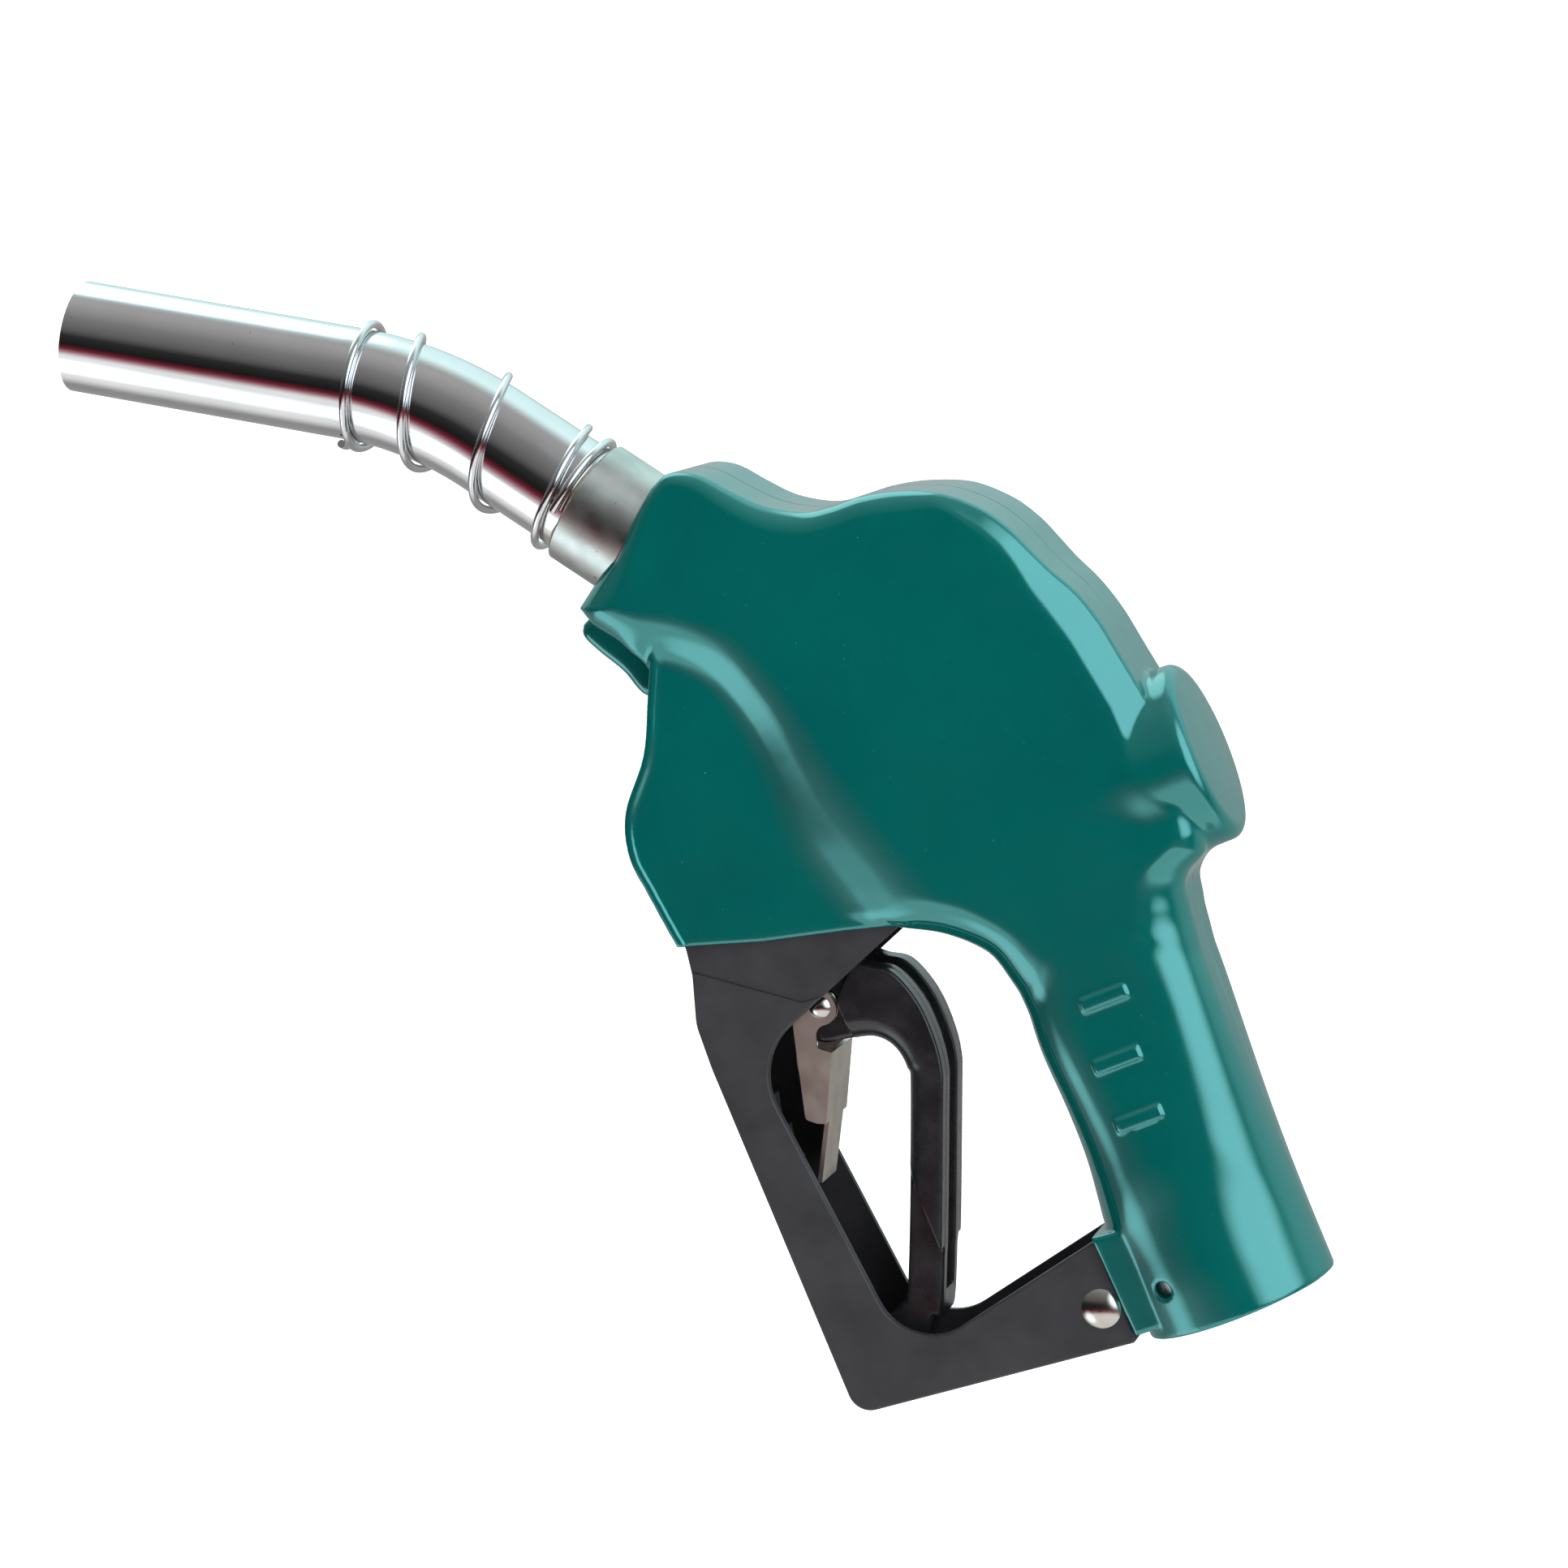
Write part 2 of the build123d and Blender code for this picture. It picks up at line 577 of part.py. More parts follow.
def make_lever():
    """Squeeze lever: forked eye, narrow hub, wide arched grip with a groove down its rear."""
    face = side_face(LEVER_OUTLINE, LEVER_RADII)
    blade = extrude(Plane.XZ * face, amount=LEVER_HALF, both=True)
    rims = blade.faces().filter_by(Axis.Y).edges()
    blade = fillet(rims, 2.2)
    for side in (-1, 1):
        waist = Pos(-81.5, side * (HUB_HALF + 20), 140) * Box(30, 40, 90)
        waist += Pos(-60, side * (HUB_HALF + 20), 143) * Box(30, 40, 48)
        blade -= waist
    blade -= Pos(-70, 0, 160) * Box(40, 12.6, 36)
    # Groove down the rear of the grip
    line = [(-30, 119), (-55, 119), (-52.3, 96), (-52.8, 88), (-64, 62), (-30, 62)]
    blade -= sharp_slab(line, 4.2)
    blade += cross_rod(*PAD_POS, PAD_R, 7.5)
    blade -= cross_rod(*PIVOT, LEVER_PIN_R + RUN_FIT, 20)
    blade -= cross_rod(*CLIP_POS, CLIP_RIVET_R + RUN_FIT, 20)
    return blade


def make_clip_rivet():
    rivet = cross_rod(*CLIP_POS, CLIP_RIVET_R, CLIP_HALF + 0.05)
    for side in (-1, 1):
        rivet += domed_head(side, *CLIP_POS, CLIP_HALF + 0.05, 2.9, 1.2)
    return rivet


def make_hold_open_clip():
    """Folded sheet clip: two side wings on the rivet, a web behind them and a narrow tongue."""
    wing_points = [(-69, 117.5), (-76, 117.5), (-81, 111), (-88, 86), (-85.5, 84), CLIP_MID, CLIP_TOP,
                   (-77.6, 102.6), (-75.6, 107.6), (-67.5, 107.2)]
    wing_radii = [4, 6, 8, 1.5, 1, 0, 0, 1.5, 3, 4.2]
    wings = extrude(Plane.XZ * side_face(wing_points, wing_radii), amount=CLIP_HALF, both=True)
    wings -= Box(400, 2 * (CLIP_HALF - CLIP_T), 800)
    slope = math.degrees(math.atan2(CLIP_TOP[1] - CLIP_MID[1], CLIP_TOP[0] - CLIP_MID[0]))
    lean = ray(slope + 90)
    web_points = [CLIP_TOP, CLIP_MID, (CLIP_MID[0] + lean[0] * CLIP_T, CLIP_MID[1] + lean[1] * CLIP_T),
                  (CLIP_TOP[0] + lean[0] * CLIP_T, CLIP_TOP[1] + lean[1] * CLIP_T)]
    web = sharp_slab(web_points, CLIP_HALF)
    tongue_points = [CLIP_MID, CLIP_TIP, (CLIP_TIP[0] + lean[0] * CLIP_T, CLIP_TIP[1] + lean[1] * CLIP_T),
                     (CLIP_MID[0] + lean[0] * CLIP_T, CLIP_MID[1] + lean[1] * CLIP_T)]
    tongue = sharp_slab(tongue_points, CLIP_TONGUE_HALF)
    clip = wings + web + tongue
    return clip - cross_rod(*CLIP_POS, CLIP_RIVET_R + RUN_FIT, 20)


def make_clip_spring():
    group = []
    for side in (-1, 1):
        turn = Pos(CLIP_POS[0], side * (HUB_HALF + 0.6), CLIP_POS[1]) * Rot(90, 0, 0)
        group.append(turn * Torus(4.4, 0.45))
    return Compound(group)


save("grip_cover", make_grip_cover())
handle_casting, body_casting = cut_casting(make_casting())
save("handle_casting", handle_casting)
save("body_casting", body_casting)
save("hand_guard", make_hand_guard())
save("guard_rear_rivet", make_guard_rear_rivet())
save("guard_front_bolts", make_guard_front_bolts())
save("spout_tube", make_spout_tube())
save("vacuum_tube", make_vacuum_tube())
save("spout_adapter", make_spout_adapter())
save("spout_orings", make_spout_orings())
save("spout_set_screw", set_screw_bar(SET_SCREW_R))
save("spout_anchor_spring", make_spout_anchor_spring())
save("check_seat", make_check_seat())
save("check_poppet", make_check_poppet())
save("check_spring", coil(*INTO_BODY, 45, 57.9, 5.6, 0.6, 4))
save("valve_seat", make_valve_seat())
save("poppet_seal", make_poppet_seal())
save("main_poppet", make_main_poppet())
save("main_stem", make_main_stem())
save("main_spring", coil(*VALVE, 17.1, 40.9, 11.0, 1.0, 5))
save("packing_gland", make_packing_gland())
save("stem_seal", make_stem_seal())
save("valve_cap", make_valve_cap())
save("valve_cap_oring", make_valve_cap_oring())
save("latch_plunger", make_latch_plunger())
save("latch_balls", make_latch_balls())
save("latch_ring", make_latch_ring())
save("plunger_spring", coil(*LATCH, 75, DIAPHRAGM_AT - 1.6, 5.0, 0.7, 5))
save("lever_pin", make_lever_pin())
save("latch_pin", make_latch_pin())
save("diaphragm_plates", make_diaphragm_plates())
save("diaphragm", make_diaphragm())
save("diaphragm_spring", coil(*LATCH, DIAPHRAGM_AT + 2.3, LATCH_TOP - 1.7, 6.0, 0.4, 2.5))
save("latch_cap", make_latch_cap())
save("latch_cap_screws", make_latch_cap_screws())
save("lever", make_lever())
save("clip_rivet", make_clip_rivet())
save("hold_open_clip", make_hold_open_clip())
save("clip_spring", make_clip_spring())
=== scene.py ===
"""Looks of the fuel nozzle: moulded cover, lever, finishes, floor, light and camera."""
import json
import math

import bpy
import numpy as np
from mathutils import Matrix, Vector


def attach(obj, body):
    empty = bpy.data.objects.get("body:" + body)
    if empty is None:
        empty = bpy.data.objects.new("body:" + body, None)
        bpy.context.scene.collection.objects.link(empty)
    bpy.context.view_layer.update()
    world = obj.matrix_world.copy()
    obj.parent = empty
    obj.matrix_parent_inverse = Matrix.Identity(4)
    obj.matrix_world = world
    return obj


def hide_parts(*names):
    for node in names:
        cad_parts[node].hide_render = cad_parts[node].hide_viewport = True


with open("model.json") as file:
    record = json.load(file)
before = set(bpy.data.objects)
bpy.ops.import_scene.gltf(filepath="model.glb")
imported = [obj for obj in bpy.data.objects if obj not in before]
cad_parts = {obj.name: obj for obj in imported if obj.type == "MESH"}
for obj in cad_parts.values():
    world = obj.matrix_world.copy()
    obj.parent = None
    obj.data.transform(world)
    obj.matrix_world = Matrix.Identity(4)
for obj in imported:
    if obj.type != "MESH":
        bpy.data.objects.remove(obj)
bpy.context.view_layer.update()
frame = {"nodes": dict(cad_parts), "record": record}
MM = 0.001


# ---------------------------------------------------------------- distance fields, in millimetres
def flow(points, steps=6):
    """Smooth open line through the points."""
    pts = [np.array(p, float) for p in points]
    pts = [2 * pts[0] - pts[1]] + pts + [2 * pts[-1] - pts[-2]]
    line = []
    for a, b, c, d in zip(pts, pts[1:], pts[2:], pts[3:]):
        for k in range(steps):
            t = k / steps
            line.append(0.5 * (2 * b + (c - a) * t + (2 * a - 5 * b + 4 * c - d) * t * t
                               + (3 * b - a - 3 * c + d) * t ** 3))
    line.append(pts[-2])
    return [tuple(p) for p in line]


def outline(x, z, points):
    """Signed distance to a closed outline, negative inside."""
    best = np.full(np.broadcast(x, z).shape, 1e9, np.float32)
    inside = np.zeros(best.shape, bool)
    for (ax, az), (bx, bz) in zip(points, points[1:] + points[:1]):
        ex, ez = bx - ax, bz - az
        length = ex * ex + ez * ez
        if length < 1e-9:
            continue
        t = np.clip(((x - ax) * ex + (z - az) * ez) / length, 0, 1)
        best = np.minimum(best, (x - ax - t * ex) ** 2 + (z - az - t * ez) ** 2)
        crosses = (az > z) != (bz > z)
        if ez:
            inside ^= crosses & (x < ax + (z - az) * ex / ez)
    return np.where(inside, -1, 1) * np.sqrt(best)


def meet(a, b, r):
    """Intersection whose edge is rounded by r."""
    u = np.maximum(a + r, 0)
    v = np.maximum(b + r, 0)
    return np.minimum(np.maximum(a, b), -r) + np.sqrt(u * u + v * v)


def merge(a, b, k):
    """Union with a fillet of size k."""
    h = np.maximum(k - np.abs(a - b), 0) / k
    return np.minimum(a, b) - h * h * k / 4


def trim(a, b, k):
    """Intersection with a soft edge of size k."""
    return -merge(-a, -b, k)


def ease(v, lo, hi):
    t = np.clip((v - lo) / (hi - lo), 0, 1)
    return t * t * (3 - 2 * t)


def spread(field):
    """A field over the XZ plane, repeated along Y."""
    return field[:, None, :]


def grid(low, high, step):
    axes = [np.arange(a, b + step, step, dtype=np.float32) for a, b in zip(low, high)]
    return axes[0][:, None, None], axes[1][None, :, None], axes[2][None, None, :]


def surface_net(field, low, step):
    """Quads through the zero level of a field on a grid."""
    inside = field < 0
    n = [s - 1 for s in field.shape]
    corner = [(i, j, k) for i in (0, 1) for j in (0, 1) for k in (0, 1)]
    count = sum(inside[i:n[0] + i, j:n[1] + j, k:n[2] + k].astype(np.int8) for i, j, k in corner)
    cells = np.argwhere((count > 0) & (count < 8))
    index = np.full(n, -1, np.int64)
    index[tuple(cells.T)] = np.arange(len(cells))
    total = np.zeros((len(cells), 3))
    hits = np.zeros(len(cells))
    for a in corner:
        for axis in range(3):
            if a[axis]:
                continue
            b = list(a)
            b[axis] = 1
            fa = field[tuple((cells + a).T)].astype(float)
            fb = field[tuple((cells + b).T)].astype(float)
            cut = (fa < 0) != (fb < 0)
            t = np.where(cut, fa / np.where(cut, fa - fb, 1), 0)
            place = np.array(a, float) + t[:, None] * (np.array(b, float) - a)
            total += place * cut[:, None]
            hits += cut
    points = (cells + total / hits[:, None]) * step + np.array(low)
    quads = []
    for axis in range(3):
        u, v = (axis + 1) % 3, (axis + 2) % 3
        lo = [slice(None)] * 3
        hi = [slice(None)] * 3
        lo[axis] = slice(0, -1)
        hi[axis] = slice(1, None)
        change = inside[tuple(lo)] != inside[tuple(hi)]
        spots = np.argwhere(change)
        spots = spots[(spots[:, u] > 0) & (spots[:, v] > 0) & (spots[:, u] < n[u]) & (spots[:, v] < n[v])]
        starts_in = inside[tuple(spots.T)]
        du, dv = np.eye(3, dtype=int)[u], np.eye(3, dtype=int)[v]
        ring = [index[tuple((spots - s).T)] for s in (du + dv, dv, du * 0, du)]
        quad = np.stack(ring, 1)
        quad[~starts_in] = quad[~starts_in][:, ::-1]
        quads.append(quad)
    return points, np.concatenate(quads)


def relax(points, quads, rounds):
    """Evens out the steps of the grid without shrinking the shape."""
    pairs = np.concatenate([quads[:, [a, (a + 1) % 4]] for a in range(4)])
    degree = np.bincount(pairs.ravel(), minlength=len(points))[:, None]
    for turn in range(rounds):
        for weight in (0.5, -0.52):
            mean = np.zeros_like(points)
            for c in range(3):
                mean[:, c] = (np.bincount(pairs[:, 0], points[pairs[:, 1], c], len(points))
                              + np.bincount(pairs[:, 1], points[pairs[:, 0], c], len(points)))
            points = points + weight * (mean / degree - points)
    return points


def sample(field, points, low, step):
    """Field value at scattered points, between the grid's values."""
    place = (points - np.array(low)) / step
    cell = np.clip(np.floor(place).astype(int), 0, np.array(field.shape) - 2)
    part = place - cell
    value = np.zeros(len(points))
    for i in (0, 1):
        for j in (0, 1):
            for k in (0, 1):
                near = np.abs(1 - np.array([i, j, k]) - part).prod(axis=1)
                value += near * field[cell[:, 0] + i, cell[:, 1] + j, cell[:, 2] + k]
    return value


def settle(points, field, low, step):
    """Moves the points onto the zero level of the field."""
    for turn in range(2):
        slope = np.zeros_like(points)
        for axis in range(3):
            reach = np.eye(3)[axis] * 0.5 * step
            slope[:, axis] = (sample(field, points + reach, low, step)
                              - sample(field, points - reach, low, step)) / step
        steep = np.maximum((slope ** 2).sum(axis=1), 0.25)
        push = sample(field, points, low, step) / steep
        points = points - slope * np.clip(push, -0.3 * step, 0.3 * step)[:, None]
    return points


def mesh_piece(name, points, faces, material, body):
    """Adds a mesh, given in millimetres, that rides on a body."""
    mesh = bpy.data.meshes.new(name)
    size = len(faces[0])
    mesh.vertices.add(len(points))
    mesh.vertices.foreach_set("co", (np.asarray(points, np.float32) * MM).ravel())
    mesh.loops.add(len(faces) * size)
    mesh.loops.foreach_set("vertex_index", np.asarray(faces, np.int32).ravel())
    mesh.polygons.add(len(faces))
    mesh.polygons.foreach_set("loop_start", np.arange(0, len(faces) * size, size, dtype=np.int32))
    mesh.update(calc_edges=True)
    mesh.validate()
    mesh.polygons.foreach_set("use_smooth", [True] * len(mesh.polygons))
    piece = bpy.data.objects.new(name, mesh)
    bpy.context.scene.collection.objects.link(piece)
    mesh.materials.append(material)
    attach(piece, body)
    return piece


# ---------------------------------------------------------------- materials
def new_material(name, colour, roughness, metallic=0.0, coat=0.0):
    material = bpy.data.materials.new(name)
    material.use_nodes = True
    tree = material.node_tree
    shader = tree.nodes["Principled BSDF"]
    shader.inputs["Base Color"].default_value = (*colour, 1)
    shader.inputs["Roughness"].default_value = roughness
    shader.inputs["Metallic"].default_value = metallic
    shader.inputs["Coat Weight"].default_value = coat
    shader.inputs["Coat Roughness"].default_value = 0.06
    return material, tree, shader


def object_noise(tree, scale, detail=4.0, stretch=(1, 1, 1), roughness=0.55):
    """Noise in the object's own space. Scale is in cycles per metre."""
    place = tree.nodes.new("ShaderNodeTexCoord")
    mapping = tree.nodes.new("ShaderNodeMapping")
    mapping.inputs["Scale"].default_value = stretch
    noise = tree.nodes.new("ShaderNodeTexNoise")
    noise.inputs["Scale"].default_value = scale
    noise.inputs["Detail"].default_value = detail
    noise.inputs["Roughness"].default_value = roughness
    tree.links.new(place.outputs["Object"], mapping.inputs["Vector"])
    tree.links.new(mapping.outputs["Vector"], noise.inputs["Vector"])
    return noise.outputs["Fac"]


def ramp(tree, value, stops):
    node = tree.nodes.new("ShaderNodeValToRGB")
    while len(node.color_ramp.elements) < len(stops):
        node.color_ramp.elements.new(0.5)
    for element, (place, colour) in zip(node.color_ramp.elements, stops):
        element.position = place
        element.color = (*colour, 1) if len(colour) == 3 else colour
    tree.links.new(value, node.inputs["Fac"])
    return node.outputs["Color"]


def grey(v):
    return (v, v, v)


def add_bump(tree, shader, heights):
    """Chain of bumps: (height output, strength, distance in metres)."""
    normal = None
    for height, strength, distance in heights:
        bump = tree.nodes.new("ShaderNodeBump")
        bump.inputs["Strength"].default_value = strength
        bump.inputs["Distance"].default_value = distance
        tree.links.new(height, bump.inputs["Height"])
        if normal:
            tree.links.new(normal, bump.inputs["Normal"])
        normal = bump.outputs["Normal"]
    tree.links.new(normal, shader.inputs["Normal"])


def mix(tree, fac, a, b):
    node = tree.nodes.new("ShaderNodeMix")
    node.data_type = "RGBA"
    for socket, value in ((node.inputs[0], fac), (node.inputs[6], a), (node.inputs[7], b)):
        if isinstance(value, bpy.types.NodeSocket):
            tree.links.new(value, socket)
        else:
            socket.default_value = (*value, 1) if isinstance(value, tuple) else value
    return node.outputs[2]


def seam_line(tree):
    """Thin raised parting line of the mould, where the plane of symmetry meets the surface."""
    place = tree.nodes.new("ShaderNodeTexCoord")
    split = tree.nodes.new("ShaderNodeSeparateXYZ")
    tree.links.new(place.outputs["Object"], split.inputs["Vector"])
    away = tree.nodes.new("ShaderNodeMath")
    away.operation = "ABSOLUTE"
    tree.links.new(split.outputs["Y"], away.inputs[0])
    line = tree.nodes.new("ShaderNodeMapRange")
    line.interpolation_type = "SMOOTHSTEP"
    line.inputs["From Min"].default_value = 0.0001
    line.inputs["From Max"].default_value = 0.0006
    line.inputs["To Min"].default_value = 1.0
    line.inputs["To Max"].default_value = 0.0
    tree.links.new(away.outputs["Value"], line.inputs["Value"])
    return line.outputs["Result"]


def vinyl():
    """Dip-moulded glossy vinyl: faint waves, dust specks and rubbed spots."""
    material, tree, shader = new_material("cover_vinyl", (0.0, 0.075, 0.067), 0.1, coat=0.12)
    shader.inputs["IOR"].default_value = 1.78
    shader.inputs["Specular IOR Level"].default_value = 1.0
    shader.inputs["Specular Tint"].default_value = (0.40, 1.0, 1.0, 1.0)
    shader.inputs["Coat IOR"].default_value = 1.5
    shader.inputs["Coat Roughness"].default_value = 0.035
    wide = object_noise(tree, 28, 3)
    tint = ramp(tree, wide, [(0.3, (0.0, 0.070, 0.064)), (0.7, (0.0, 0.081, 0.072))])
    specks = ramp(tree, object_noise(tree, 900, 2), [(0.76, grey(0)), (0.80, grey(1))])
    tree.links.new(mix(tree, specks, tint, (0.03, 0.20, 0.18)), shader.inputs["Base Color"])
    rub = ramp(tree, object_noise(tree, 60, 5), [(0.35, grey(0.06)), (0.75, grey(0.13))])
    tree.links.new(rub, shader.inputs["Roughness"])
    seam = seam_line(tree)
    add_bump(tree, shader, [(wide, 0.22, 0.0008), (object_noise(tree, 300, 1), 0.012, 0.0001),
                            (specks, 0.15, 0.00005), (seam, 1.0, 0.0004)])
    tree.links.new(shader.inputs["Normal"].links[0].from_socket, shader.inputs["Coat Normal"])
    return material


def black_gloss():
    """Moulded black lever: semi-gloss with slight orange peel and rubbed patches."""
    material, tree, shader = new_material("lever_black", (0.008, 0.008, 0.009), 0.26, coat=0.2)
    peel = object_noise(tree, 1100, 3)
    rough = ramp(tree, object_noise(tree, 180, 4), [(0.3, grey(0.20)), (0.7, grey(0.34))])
    tree.links.new(rough, shader.inputs["Roughness"])
    tint = ramp(tree, object_noise(tree, 90, 4), [
        (0.3, (0.006, 0.006, 0.007)), (0.75, (0.014, 0.014, 0.016))])
    tree.links.new(tint, shader.inputs["Base Color"])
    add_bump(tree, shader, [(peel, 0.22, 0.00012)])
    return material


def guard_coat():
    """Charcoal satin powder coat with faint rubbing."""
    material, tree, shader = new_material("guard_coat", (0.016, 0.016, 0.018), 0.5)
    cloud = object_noise(tree, 70, 5)
    tint = ramp(tree, cloud, [(0.3, (0.019, 0.018, 0.021)), (0.7, (0.030, 0.029, 0.033))])
    marks = ramp(tree, object_noise(tree, 520, 2), [(0.76, grey(0)), (0.82, grey(0.35))])
    tree.links.new(mix(tree, marks, tint, (0.06, 0.06, 0.065)), shader.inputs["Base Color"])
    rough = ramp(tree, object_noise(tree, 260, 4), [(0.3, grey(0.42)), (0.7, grey(0.56))])
    tree.links.new(rough, shader.inputs["Roughness"])
    add_bump(tree, shader, [(object_noise(tree, 1500, 3), 0.12, 0.00008)])
    return material


def chrome(name, colour=(0.76, 0.76, 0.77), scratch=1.0):
    """Polished plating with hair scratches and a few pits."""
    material, tree, shader = new_material(name, colour, 0.07, 1.0)
    pits = ramp(tree, object_noise(tree, 620, 2), [(0.74, grey(0)), (0.79, grey(1))])
    cloud = object_noise(tree, 45, 5)
    tint = ramp(tree, cloud, [
        (0.25, tuple(0.93 * c for c in colour)), (0.75, tuple(1.05 * c for c in colour))])
    tree.links.new(mix(tree, pits, tint, (0.42, 0.42, 0.43)), shader.inputs["Base Color"])
    rough = ramp(tree, object_noise(tree, 120, 6), [(0.3, grey(0.05)), (0.8, grey(0.05 + 0.09 * scratch))])
    tree.links.new(rough, shader.inputs["Roughness"])
    hair = object_noise(tree, 240, 6, stretch=(0.35, 6, 0.35))
    add_bump(tree, shader, [(hair, 0.025 * scratch, 0.0001), (pits, 0.2, 0.00004)])
    return material


def dull_metal(name, colour, low, high, pits_at=0.72):
    """Turned or cast metal with stains, small pits and a soft grain."""
    material, tree, shader = new_material(name, colour, 0.4, 1.0)
    cloud = object_noise(tree, 75, 6)
    tint = ramp(tree, cloud, [(0.25, tuple(0.74 * c for c in colour)), (0.55, colour),
                              (0.8, tuple(min(1, 1.18 * c) for c in colour))])
    pits = ramp(tree, object_noise(tree, 480, 3), [(pits_at, grey(0)), (pits_at + 0.05, grey(1))])
    tree.links.new(mix(tree, pits, tint, tuple(0.3 * c for c in colour)), shader.inputs["Base Color"])
    rough = ramp(tree, object_noise(tree, 160, 5), [(0.3, grey(low)), (0.75, grey(high))])
    tree.links.new(rough, shader.inputs["Roughness"])
    add_bump(tree, shader, [(object_noise(tree, 900, 4), 0.18, 0.00008), (pits, 0.3, 0.00006)])
    return material


def rubber():
    material, tree, shader = new_material("seal_rubber", (0.02, 0.02, 0.02), 0.6)
    add_bump(tree, shader, [(object_noise(tree, 900, 3), 0.2, 0.0001)])
    return material


FINISHES = {
    "cover_vinyl": vinyl(),
    "lever_black": black_gloss(),
    "guard_coat": guard_coat(),
    "chrome": chrome("chrome"),
    "collar_metal": dull_metal("collar_metal", (0.60, 0.62, 0.59), 0.28, 0.42),
    "casting": dull_metal("casting", (0.55, 0.55, 0.56), 0.35, 0.5),
    "clip_nickel": dull_metal("clip_nickel", (0.74, 0.69, 0.61), 0.36, 0.5, 0.76),
    "rivet_steel": dull_metal("rivet_steel", (0.66, 0.63, 0.58), 0.13, 0.24, 0.78),
    "steel": dull_metal("steel", (0.5, 0.5, 0.51), 0.25, 0.4),
    "brass": dull_metal("brass", (0.62, 0.46, 0.22), 0.25, 0.4),
    "seal_rubber": rubber(),
}
for part in frame["record"]["subparts"]:
    node = frame["nodes"][part["node"]]
    node.data.materials.clear()
    node.data.materials.append(FINISHES[part["material_slot"]])


# ---------------------------------------------------------------- moulded cover
BODY_HALF = 22.7
NECK_HALF = 21.4
LOBE_HALF = 17.3
COVER_T = 2.55
BOSS_Z = 137.0
BOSS_R = 24.0
BOSS_END = 48.9
INLET_R = 25.75
SPOUT_AXIS = ((-81.7, 258.8), (0.5735764, -0.8191520))
TOP_RUN = [(-57.0, 254.6), (-51.6, 256.0), (-44.6, 252.6), (-38.3, 245.4), (-32.0, 238.8), (-23.2, 233.4),
           (-15.5, 231.8), (-7.0, 231.2), (3.2, 228.6), (13.2, 223.8), (21.2, 216.4), (25.9, 209.0),
           (28.6, 202.4), (31.3, 195.6), (35.2, 187.4), (37.8, 178.5), (39.3, 169.0), (41.0, 158.0)]
UNDER_RUN = [(41.5, 119), (39.5, 113.8), (33.6, 110.6), (29.4, 107.4), (27.2, 101.0), (20, 92), (-12, 92),
             (-19.6, 99.0), (-24.2, 109.5), (-32.4, 117.9), (-43.0, 124.2)]
FRONT_RUN = [(-60, 135), (-76, 160), (-82, 190), (-79, 208), (-80.5, 216.5), (-88.5, 227.5), (-90.2, 233.2)]
RIDGE = [(-24, 100), (-29.5, 117), (-33.6, 129.6), (-40.1, 152.6), (-44.2, 170.1), (-47.6, 189.6),
         (-53.2, 207.5), (-63.0, 219.5), (-76.0, 227.0), (-90.0, 231.5), (-110, 235)]
LOBE_FRONT = [(-76.5, 214.2), (-81.6, 204.4), (-88.7, 191.1), (-99.4, 179.0), (-103.2, 167.8),
              (-102.4, 157.0),
              (-100.4, 140.0), (-97.0, 120.0)]
TRIM_LINE = [(-120, 147.5), (-99.7, 140.9), (-78.2, 134.2), (-56.5, 129.0), (-44.0, 125.6), (-30.0, 122.5)]
HANDLE = [(-25.9, -0.01), (-25.6, 24), (-24.2, 31.6), (-21.2, 38.4), (-19.6, 48.9), (-20.4, 63.1),
          (-21.5, 77.3), (-21.2, 87.0), (-19.7, 97.5), (-16, 120), (-8, 146), (18, 146), (27.2, 116),
          (27.9, 99.6), (27.1, 66.0), (25.9, -0.01)]
LIP = [(-93.2, 229.0), (-94.4, 226.0), (-92.0, 220.5), (-88.0, 213.5), (-84.5, 205.0), (-76, 205), (-72, 216),
       (-84, 231)]
BARS = ((2.5, 89.0), (-0.5, 73.0), (-1.0, 57.0))
LUG = [(-26.6, 31.5), (-15.0, 30.4), (-13.4, 24), (-17.5, 3.3), (-25.7, 3.5)]
GUARD_ROOM = [(-77.5, 209.5), (-80.1, 203.3), (-87.1, 190.4), (-97.9, 177.7), (-101.5, 167.5), (-100.7, 157),
              (-99.0, 140), (-97.0, 110), (-46, 110), (-45, 124), (-40.5, 128), (-36, 150), (-44, 196)]


